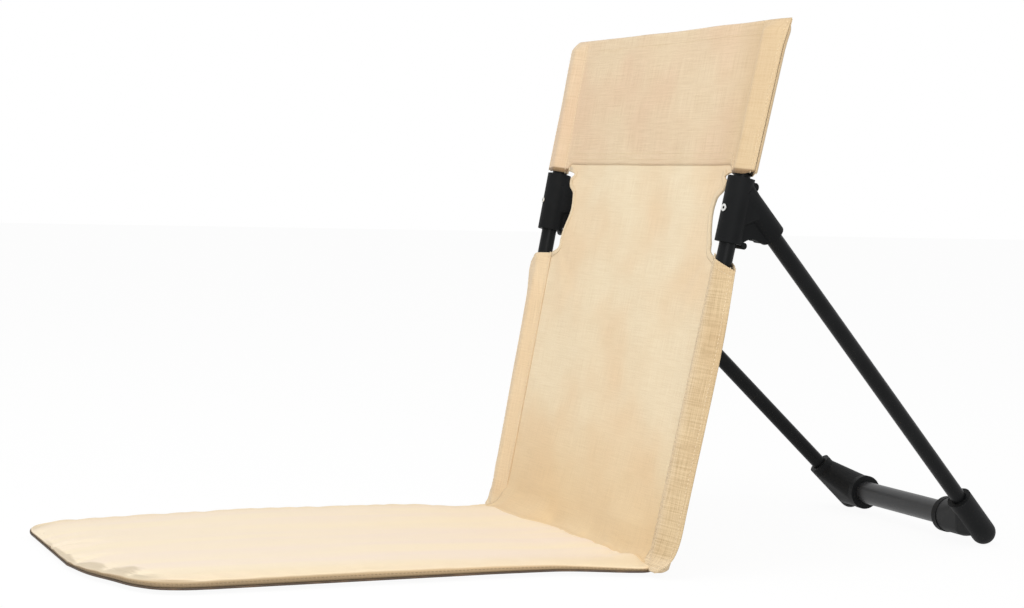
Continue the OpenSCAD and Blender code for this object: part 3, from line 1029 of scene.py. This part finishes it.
# %% Folds at the foot of the panel
sewn_line = through_mm(
    [-170, -140, -107, -82, -58, -49, -40, -22, 10, 38, 48, 64, 97, 117, 138, 170],
    [-19, -23, -26, -25.5, -24, -20, -12.5, -11, -14, -15.5, -12, -11, -13.8, -11, -10.4, -10.4],
)
land_behind = 3.2 * mm
fall_straight = 17 * mm
swing_most = 8.5 * mm


def front_fall():
    """The front layer below the panel: it rounds the fold, runs out on the mat and ends in it."""
    x = panel_columns * panel_edge(0 * mm, 1)
    top = on_back(x, -layer_y + drape(x, panel_z[0]), panel_z[0]) - fold_at
    down = np.array([0, -math.sin(recline), -math.cos(recline)])
    land_y = sewn_line(x) + land_behind
    land = np.stack([x, land_y, on_mat(x, land_y) + mat_clear], -1)
    swing = np.stack([0 * x, np.minimum(swing_most, -0.62 * land_y), 0.3 * mm + 0 * x], -1)
    t = np.linspace(1, 0, 22)[:-1, None, None]
    bend = cubic(t, [top, top + fall_straight * down, land + swing, land])
    share = np.linspace(1, 0, 6)[:-1, None]
    run_y = land_y + share * (sewn_line(x) - land_y)
    run_x = x + 0 * run_y
    run_z = on_mat(run_x, run_y) + mat_clear - share ** 2 * 2 * mat_clear
    points = np.concatenate([np.stack([run_x, run_y, run_z], -1), bend])
    return points + fold_at


back_front_points = panel_grid(front_fall(), -layer_y)
back_rear_points = panel_grid(rear_fall(), layer_y)
back_front = panel_sheet("back_front", back_front_points)
back_rear = panel_sheet("back_rear", back_rear_points)
print("back panel:", face_count(back_front, back_rear), "faces")

# %% [markdown]
# ## Sleeves
# A sleeve's cloth runs from a flat flange on the panel, tightly over the pole, down to a sewn edge
# outboard of it, and back behind the pole. Seen from its end, each half is the shortest line over
# a circle: two straight lines that touch the pole, with an arc between them.


# %% Section of a sleeve
def over_pole(a, radius, out, out_y, inner, inner_y):
    """Height of cloth stretched over a pole at a = 0, from inner (below 0) to out (above 0)."""
    reach = np.hypot(out, out_y)
    touch_out = np.arctan2(out_y, out) + np.arccos(radius / reach)
    back = np.hypot(inner, inner_y)
    touch_in = np.arctan2(inner_y, inner) - np.arccos(radius / back)
    out_a, out_h = radius * np.cos(touch_out), radius * np.sin(touch_out)
    in_a, in_h = radius * np.cos(touch_in), radius * np.sin(touch_in)
    outer_line = out_y + (out_h - out_y) * (out - a) / (out - out_a)
    inner_line = inner_y + (in_h - inner_y) * (a - inner) / (in_a - inner)
    arc = np.sqrt(np.maximum(radius ** 2 - a ** 2, 0))
    height = np.where(a > out_a, outer_line, np.where(a < in_a, inner_line, arc))
    return np.where(a < inner, inner_y, height)


sleeve_inner = 14 * mm
flange = 3.5 * mm
over_r = pole_r + 0.65 * mm
flange_y = layer_y + cloth_t + 0.05 * mm
edge_y = 0.45 * mm

lower_out = {
    1: through_mm(
        [-8, -4, 0, 7, 17, 30, 45, 80, 131, 200, 250, 276],
        [13, 18, 21.5, 25, 27, 28.3, 28.2, 28.3, 28.9, 28.5, 25, 22.3],
    ),
    -1: through_mm(
        [-8, -4, 0, 26, 72, 131, 200, 222, 236, 248, 256, 262, 276],
        [13, 17, 19.5, 21, 21.5, 23, 23.6, 25, 27.6, 29.6, 28, 23.5, 20],
    ),
}
sleeve_foot_z = -7.2 * mm
sleeve_foot_round = 5.6 * mm
foot_turn = {1: 0.55, -1: 0.35}
mouth_in_z = {1: 274.5 * mm, -1: 262 * mm}
mouth_out_z = {1: 262 * mm, -1: 256.5 * mm}
bag_even, bag_waves = 0.5 * mm, 0.7 * mm
hem_rise = 0.25 * mm
crumple_depth = 0.35 * mm
print("lower sleeves end at", mouth_in_z[1] / mm, "and", mouth_in_z[-1] / mm, "mm along the poles")


# %% Lower sleeves
def turn_ahead(z):
    """How far forward the panel's front layer has turned at a height along the back."""
    local = (back_front_points[:, 1] - back_at) @ back_turn
    turn = local[local[:, 2] < panel_z[0]]
    return np.interp(z, turn[:, 2], -turn[:, 1] - layer_y)


def sleeve_shares():
    """Places round a sleeve from its front flange to its rear one: 0 is the pole, 1 the edge."""
    inner = np.linspace(-(sleeve_inner + flange), -sleeve_inner, 3) / sleeve_inner
    run_in = np.linspace(-1, 0, 10)[1:]
    run_out = np.linspace(0, 1, 13)[1:]
    front = np.concatenate([inner, run_in, run_out])
    return np.concatenate([front, front[::-1]]), len(front)


def sleeve_points(z, side, out, sag_front, full):
    """Rows of points round a sleeve at heights z, in the frame of the back.

    out is the sewn edge's distance from the pole at each row, sag_front the cloth's own looseness,
    and full falls from 1 to 0 where the sleeve closes flat past the pole's end."""
    shares, half = sleeve_shares()
    front = np.arange(len(shares)) < half
    s = shares[None, :]
    out = out[:, None]
    a = np.where(s < 0, s * sleeve_inner, s * out)
    tight = over_pole(a, over_r, out, edge_y, -sleeve_inner, flange_y)
    loose = sag_front * smooth(1 - np.abs(s - 0.45) / 0.55)
    lean = edge_y + (flange_y - edge_y) * smooth(-s)
    height = lean + (tight - lean + loose) * full[:, None]
    ahead = (turn_ahead(z) + 0.6 * mm) * foot_turn[side]
    past_pole = eased(a, 8, 14)
    rear = height - ahead * np.maximum(past_pole, 1 - full[:, None])
    y = np.where(front[None, :], -np.maximum(height, ahead * (ahead > 0.8 * mm)), rear)
    return side * (pole_x(z) + a), y, a


def flange_give(x, z, a):
    """The flange lies on the panel, so it follows the panel's drape."""
    return drape(x, z) * eased(-a - sleeve_inner, -2, 1)


def lower_sleeve(side, name):
    """One sleeve, +1 for the left: closed past the pole's foot, open under the hub."""
    rows = np.concatenate([[0, 0.003, 0.006, 0.010], np.linspace(0.016, 1, 84)])
    high_in, high_out = mouth_in_z[side], mouth_out_z[side]
    middle_z = sleeve_foot_z + rows * (high_in - sleeve_foot_z)
    out = lower_out[side](middle_z)
    open_share = np.clip((middle_z - sleeve_foot_z) / sleeve_foot_round, 0, 1)
    full = np.sqrt(1 - (1 - open_share) ** 2) * 0.94 + 0.06
    z = middle_z[:, None]
    bag = bag_even + bag_waves * ripple(0 * z + side, z, 75, 1.9 + side)
    x, y, a = sleeve_points(z, side, out, bag, full)
    fall = (high_in - high_out) * (a + sleeve_inner) / (out[:, None] + sleeve_inner)
    z = z - fall * eased(z, 200, 271) + 0 * a
    hem = hem_rise * eased(z - high_in, -14, -12)
    crumple = crumple_depth * ripple(a, z, 24, 3.3 + side) * eased(a + sleeve_inner, 0, 9)
    y = y + np.sign(y) * (hem + crumple * (np.abs(y) > 2 * mm)) + flange_give(x, z, a)
    points = on_back(x, y, z)
    flat = np.stack([run_lengths(points), z + 0 * a], -1)
    finish = near_sleeve_cloth if side > 0 else far_sleeve_cloth
    return sheet(name, points, flat, finish), points


sleeve_left, sleeve_left_points = lower_sleeve(1, "lower_sleeve_left")
sleeve_right, sleeve_right_points = lower_sleeve(-1, "lower_sleeve_right")
print("lower sleeve:", face_count(sleeve_left), "faces each")

# %% [markdown]
# ## The head piece
# A second piece of canvas covers the top of the back. It is folded over the top edge, so it shows
# in front and behind, its hem crosses the panel below the head, and its two sides are the upper
# sleeves. One grid makes all of it: rows go up the front, over the fold and down the rear.

# %% Head piece
head_y = layer_y + cloth_t + 0.1 * mm
left_out = through_mm([345, 380, 415, 450, 486], [19.9, 21, 22.2, 23.2, 24.3])
right_out = through_mm([345, 370, 415, 460, 486], [28.2, 27.4, 25.6, 25.2, 24.6])
pole_share = 0.36
mouth_z = 346.2 * mm
mouth_rise = 2.6 * mm
seam_sink = 0.75 * mm
top_round = 1.3 * mm
near_corner_rise, near_corner_curl = 0.4 * mm, 2.2 * mm
far_corner_drop = 7 * mm
rear_lip_depth = 2.6 * mm
head_puff_even, head_puff_waves = 0.45 * mm, 0.6 * mm
head_hem = 0.2 * mm


def head_columns():
    """Places across the head piece: -2 and 2 are its edges, -1 and 1 the stitch lines."""
    to_pole = np.linspace(1, 1 + pole_share, 9)[1:]
    sleeve = np.concatenate([to_pole, np.linspace(1 + pole_share, 2, 13)[1:]])
    panel = np.linspace(-1, 1, 87)
    return np.concatenate([-sleeve[::-1], panel, sleeve])


def head_layer(t, front):
    """One side of the head piece: t is 0 at its lower edge and 1 at its top."""
    u = head_columns()[None, :]
    t = t[:, None]
    side = np.sign(u)
    z_mid = head_seam_z + t * (cloth_top_z - head_seam_z)
    stitch = pole_x(z_mid) - sleeve_inner
    out = np.where(side > 0, left_out(z_mid), right_out(z_mid))
    beyond = np.clip(np.abs(u) - 1, 0, 1)
    inboard = -sleeve_inner + beyond / pole_share * sleeve_inner
    outboard = (beyond - pole_share) / (1 - pole_share) * out
    a = np.where(beyond < pole_share, inboard, outboard)
    x = np.where(np.abs(u) <= 1, u * stitch, side * (pole_x(z_mid) + a))
    low = head_seam_z - (head_seam_z - mouth_z) * eased(np.abs(x), 166, 174)
    low = low + mouth_rise * eased(a, 8, 20) * (beyond > 0.3)
    tip = eased(a, 6, 24) * (beyond > pole_share)
    top = cloth_top_z + near_corner_rise * tip * (side > 0)
    top = top - far_corner_drop * tip ** 2 * (side < 0)
    z = low + t * (top - low)
    full = 1 - eased(z - pole_len, 3, 13)
    tight = over_pole(a, over_r, out, edge_y, -sleeve_inner, head_y)
    lean = head_y + (edge_y - head_y) * smooth(a / out)
    rear_lip = 0 if front else rear_lip_depth * mound(out - a, 0, 4) * eased(out - a, 0, 0.6)
    puffed = head_puff_even + head_puff_waves * ripple(a, z, 60, 2.7)
    puffed = puffed * eased(a + sleeve_inner, 0, 10) * eased(out - a, 0, 8)
    bulge = lean + (tight - lean + puffed + rear_lip) * full
    hem = head_hem * (1 - eased(z - low, 11, 12.5)) * (beyond < 0.9)
    sunk = seam_sink * (1 - eased(z - low, 0, 5)) * (beyond < 0.02)
    height = np.where(beyond > 0, bulge, head_y) + (hem - sunk)
    curl = near_corner_curl * tip * eased(z, 455, 485) * (side > 0)
    give = drape(x, z) * (1 - smooth(beyond / 0.1)) + curl
    return x, np.where(front, -height, height) + give, z


def head_piece():
    """Rows up the front, one row along the rounded top edge, and rows down the rear."""
    t = np.concatenate([np.linspace(0, 0.965, 44), [0.985, 1.0]])
    x, y, z = head_layer(t, True)
    x_rear, y_rear, z_rear = head_layer(t[::-1], False)
    x_top, z_top = x[-1:], z[-1:] + top_round
    y_top = (y[-1:] + y_rear[:1]) / 2
    parts = ((x, x_top, x_rear), (y, y_top, y_rear), (z, z_top, z_rear))
    points = on_back(*(np.concatenate(part) for part in parts))
    climb = np.concatenate([z, z_top, 2 * z_top - z_rear])
    flat = np.stack([run_lengths(points), climb], -1)
    return sheet("head_cloth", points, flat, head_cloth), points


head, head_points = head_piece()
print("head piece:", face_count(head), "faces")

# %% [markdown]
# ## Tape round the notches
# The curved cut at each notch would fray, so a narrow tape is folded over the edge and sewn. The
# tape follows the same curve and the same drape as the panel, and stands a thread's width proud.

# %% Notch tape
tape_w = 5 * mm
tape_t = 0.3 * mm
tape_reach = np.array([1, 0.75, 0.5, 0.25, 0.05, -0.06, -0.06, 0.05, 0.25, 0.5, 0.75, 1]) * tape_w
tape_side = np.array([-1, -1, -1, -1, -1, -0.6, 0.6, 1, 1, 1, 1, 1])


def notch_tape(side, name):
    """A strip folded round the cut edge: in on the front, over the edge, in on the rear."""
    edge_z = np.arange(notch_start(side) + 2.5 * mm, notch_high_z - 1.2 * mm, 1.5 * mm)
    path = np.stack([panel_edge(edge_z, side), edge_z], 1)
    inward = beside(path)
    for _ in range(6):
        inward[1:-1] = (inward[:-2] + 2 * inward[1:-1] + inward[2:]) / 4
    spots = path[:, None, :] + unit(inward)[:, None, :] * tape_reach[None, :, None]
    x, z = side * spots[..., 0], spots[..., 1]
    proud = layer_y + (cloth_t + tape_t) / 2 + 0.06 * mm
    points = on_back(x, tape_side * proud + drape(x, z), z)
    round_edge = np.concatenate([tape_reach[:6], -tape_reach[6:] - 0.2 * mm])
    flat = np.stack(np.broadcast_arrays(round_edge[None, :], lengths(path)[:, None]), -1)
    return sheet(name, points, flat, tape_cloth, tape_t), points


tape_left, tape_left_points = notch_tape(1, "notch_tape_left")
tape_right, tape_right_points = notch_tape(-1, "notch_tape_right")
print("notch tape:", face_count(tape_left), "faces each")

# %% [markdown]
# ## Stitches
# A row of stitches is one small shape repeated along a line, which is what Geometry Nodes do best.
# The tree takes lines with an arrow that points away from the cloth, walks along them at the
# stitch pitch, sets a thread-shaped bead at each step, and turns it to lie along the line.

# %% Stitch tree
stitch_sizes = {"Pitch": 3.6 * mm, "Length": 2.7 * mm, "Thread": 0.55 * mm}


def stitch_tree():
    tree = bpy.data.node_groups.new("row of stitches", "GeometryNodeTree")
    face = tree.interface
    face.new_socket("Lines", in_out="INPUT", socket_type="NodeSocketGeometry")
    inputs = {}
    for name, value in stitch_sizes.items():
        inputs[name] = face.new_socket(name, in_out="INPUT", socket_type="NodeSocketFloat")
        inputs[name].default_value = value
    inputs["Finish"] = face.new_socket("Finish", in_out="INPUT", socket_type="NodeSocketMaterial")
    face.new_socket("Stitches", in_out="OUTPUT", socket_type="NodeSocketGeometry")

    def add(kind, settings=None, **sockets):
        named = {name.replace("_", " "): value for name, value in sockets.items()}
        return add_node(tree, kind, settings, named).outputs

    given = add("NodeGroupInput")
    curve = add("GeometryNodeMeshToCurve", Mesh=given["Lines"])[0]
    walk = add("GeometryNodeCurveToPoints", {"mode": "LENGTH"}, Curve=curve, Length=given["Pitch"])
    arrow = add("GeometryNodeInputNamedAttribute", {"data_type": "FLOAT_VECTOR"}, Name="outward")
    turn = add(
        "FunctionNodeAxesToRotation",
        {"primary_axis": "X", "secondary_axis": "Z"},
        Primary_Axis=walk["Tangent"],
        Secondary_Axis=arrow["Attribute"],
    )[0]
    bead = add("GeometryNodeMeshUVSphere", Segments=6, Rings=4, Radius=0.5)["Mesh"]
    scale = add("ShaderNodeCombineXYZ", X=given["Length"], Y=given["Thread"], Z=given["Thread"])[0]
    row = add(
        "GeometryNodeInstanceOnPoints",
        Points=walk["Points"],
        Instance=bead,
        Rotation=turn,
        Scale=scale,
    )[0]
    real = add("GeometryNodeRealizeInstances", Geometry=row)[0]
    shown = add("GeometryNodeSetMaterial", Geometry=real, Material=given["Finish"])[0]
    add("NodeGroupOutput", Stitches=shown)
    return tree, {name: socket.identifier for name, socket in inputs.items()}


stitches, stitch_inputs = stitch_tree()


# %% Lines to sew along
def seam_on(points, row=None, column=None, flip=1, lift=cloth_t / 2 + 0.1 * mm):
    """A line of a sheet's grid and the direction away from it, lifted to the cloth's face."""
    away = unit(np.cross(np.gradient(points, axis=0), np.gradient(points, axis=1)))
    pick = (row, slice(None)) if row is not None else (slice(None), column)
    normals = away[pick] * flip
    return points[pick] + normals * lift, normals


def sew(name, seams, thread=stitch_sizes["Thread"], finish=thread_cloth):
    """Rows of stitches along several lines, as one plain mesh."""
    edges, start = [], 0
    for line, _ in seams:
        edges += [(start + i, start + i + 1) for i in range(len(line) - 1)]
        start += len(line)
    places, normals = (np.concatenate(part) for part in zip(*seams))
    mesh = bpy.data.meshes.new(name)
    mesh.from_pydata(places.tolist(), edges, [])
    arrows = mesh.attributes.new("outward", "FLOAT_VECTOR", "POINT")
    arrows.data.foreach_set("vector", normals.astype(np.float32).ravel())
    piece = link(mesh, name)
    rows = piece.modifiers.new("stitches", "NODES")
    rows.node_group = stitches
    rows[stitch_inputs["Thread"]] = thread
    rows[stitch_inputs["Finish"]] = finish
    return settle(piece)


# down both flanges, down both faces beside the sewn edge, and round the mouth
sleeve_half = sleeve_shares()[1]
sleeve_seams = []
for points, flip in ((sleeve_left_points, -1), (sleeve_right_points, 1)):
    for column in (1, -2, sleeve_half - 3, sleeve_half + 2):
        sleeve_seams.append(seam_on(points[4:], column=column, flip=flip))
    sleeve_seams.append(seam_on(points, row=-3, flip=flip))
sleeve_stitches = sew("sleeve_stitches", sleeve_seams)
print("sleeve stitches:", face_count(sleeve_stitches), "faces")

# %% Stitches of the head piece and the notch tape
# two rows along the front hem, one along the rear hem and one below the top edge, then the two
# lines that make the sleeves, and the sewn outer edges in front and behind
head_front_rows = head_points.shape[0] // 2
panel_from, panel_to = (int(np.argmin(np.abs(head_columns() - place))) for place in (-1, 1))
across_panel = head_points[:, panel_from:panel_to]
head_seams = [seam_on(across_panel, row=row, flip=-1) for row in (2, 4, -3, head_front_rows - 5)]
head_seams += [seam_on(head_points, column=column, flip=-1) for column in (panel_from, panel_to)]
halves = (head_points[:head_front_rows - 1], head_points[head_front_rows + 1:])
head_seams += [seam_on(half, column=column, flip=-1) for column in (2, -3) for half in halves]
head_stitches = sew("head_stitches", head_seams)

fine_thread = 0.5 * mm
tape_lift = tape_t / 2 + 0.1 * mm
tape_seams = []
for points, flip in ((tape_left_points, 1), (tape_right_points, -1)):
    tape_seams += [seam_on(points, column=column, flip=flip, lift=tape_lift) for column in (1, -2)]
tape_stitches = sew("tape_stitches", tape_seams, fine_thread)
print("head and tape stitches:", face_count(head_stitches, tape_stitches), "faces")

# %% Stitches round the mat
ring_points = mat_points[mat_loops[5]]
closed = np.concatenate([ring_points, ring_points[:1]])
outward = unit(np.cross(np.gradient(closed, axis=0), (0, 0, 1)))
rim_line = closed + outward * fine_thread / 2
mat_stitches = sew("seat_stitches", [(rim_line, outward)], fine_thread, rim_thread_cloth)
print("mat stitches:", face_count(mat_stitches), "faces")

# %% [markdown]
# ## What moves with what
# The sleeves, the head piece, the tape and their stitches ride on the back's frame, and the mat's
# pieces on the seat. The panel's two layers cross the fold and keep their place in the room. Cloth
# pieces take the place of the plain solids that stood for them.

# %% Ride on the frame
bend_from, bend_to = (0, fold_y - 2 * mm, 17 * mm), (0, fold_y - 12 * mm, 9 * mm)
for piece in (back_front, back_rear):
    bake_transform(piece)
for piece in (sleeve_left, sleeve_right, head, tape_left, tape_right):
    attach(piece, "back_frame")
for piece in (sleeve_stitches, head_stitches, tape_stitches):
    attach(piece, "back_frame")
for piece in (seat_pad, underside, mat_stitches):
    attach(piece, "seat")

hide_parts("back_panel", "fold_strip")
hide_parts("head_panel", "sleeve_upper_left", "sleeve_upper_right")
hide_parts("sleeve_lower_left")
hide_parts("sleeve_lower_right")
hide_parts("seat_top", "seat_border", "seat_foam")
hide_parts("seat_base")

# %% [markdown]
# ## Floor and light
# The floor and the sky are white to the camera, to reflections and through glass, while the light
# that they give the chair stays at a plain level: a large soft lamp above, a weaker one from the
# camera's side, and an even sky.

# %% Floor and sky
floor_glow = 0.94
sky_light = 0.6


def seen_directly(finish):
    """1 for the camera, for reflections and through glass, and 0 for the light that it gives."""
    rays = finish.add("ShaderNodeLightPath").socket.node.outputs
    names = ("Is Camera Ray", "Is Glossy Ray", "Is Transmission Ray")
    camera_ray, glossy, clear = (Field(finish, rays[name]) for name in names)
    return camera_ray.math("MAXIMUM", glossy).math("MAXIMUM", clear)


def floor_finish():
    ground = Finish("pale floor")
    matt = ground.add("ShaderNodeBsdfDiffuse", None, {"Color": "FBFBFA"})
    white = ground.add("ShaderNodeEmission", None, {"Color": "FFFFFF", "Strength": 1.0})
    share = seen_directly(ground) * floor_glow
    mixed = ground.add("ShaderNodeMixShader", None, {0: share, 1: matt, 2: white})
    return ground.close("ShaderNodeOutputMaterial", mixed)


def even_sky():
    """A sky that looks white and lights the chair at a weaker level."""
    sky = Finish("room", bpy.data.worlds)
    level = seen_directly(sky) * (1 - sky_light) + sky_light
    glow = sky.add("ShaderNodeBackground", None, {"Color": "FFFFFF", "Strength": level})
    return sky.close("ShaderNodeOutputWorld", glow)


floor_half = 12
floor_z = -0.5 * mm
floor_mesh = bpy.data.meshes.new("floor")
signs = ((-1, -1), (1, -1), (1, 1), (-1, 1))
corners = [(x * floor_half, y * floor_half, floor_z) for x, y in signs]
floor_mesh.from_pydata(corners, [], [(0, 1, 2, 3)])
floor_mesh.materials.append(floor_finish())
floor = link(floor_mesh, "floor")
bpy.context.scene.world = even_sky()
print("floor:", 2 * floor_half, "m wide")

# %% Lamps
chair_middle = Vector((0, 0, 0.15))


def lamp(name, at, size, power):
    """A round lamp that faces the middle of the chair, with its size in metres."""
    data = bpy.data.lights.new(name, "AREA")
    data.shape = "DISK"
    data.size = size
    data.energy = power
    piece = link(data, name)
    piece.location = at
    piece.rotation_euler = (chair_middle - Vector(at)).to_track_quat("-Z", "Y").to_euler()


lamp("soft lamp above", (0.6, -1.4, 2.6), 2.2, 44)
lamp("fill by the camera", (2.4, -0.6, 0.9), 1.6, 17)
bpy.context.scene.view_settings.view_transform = "Standard"
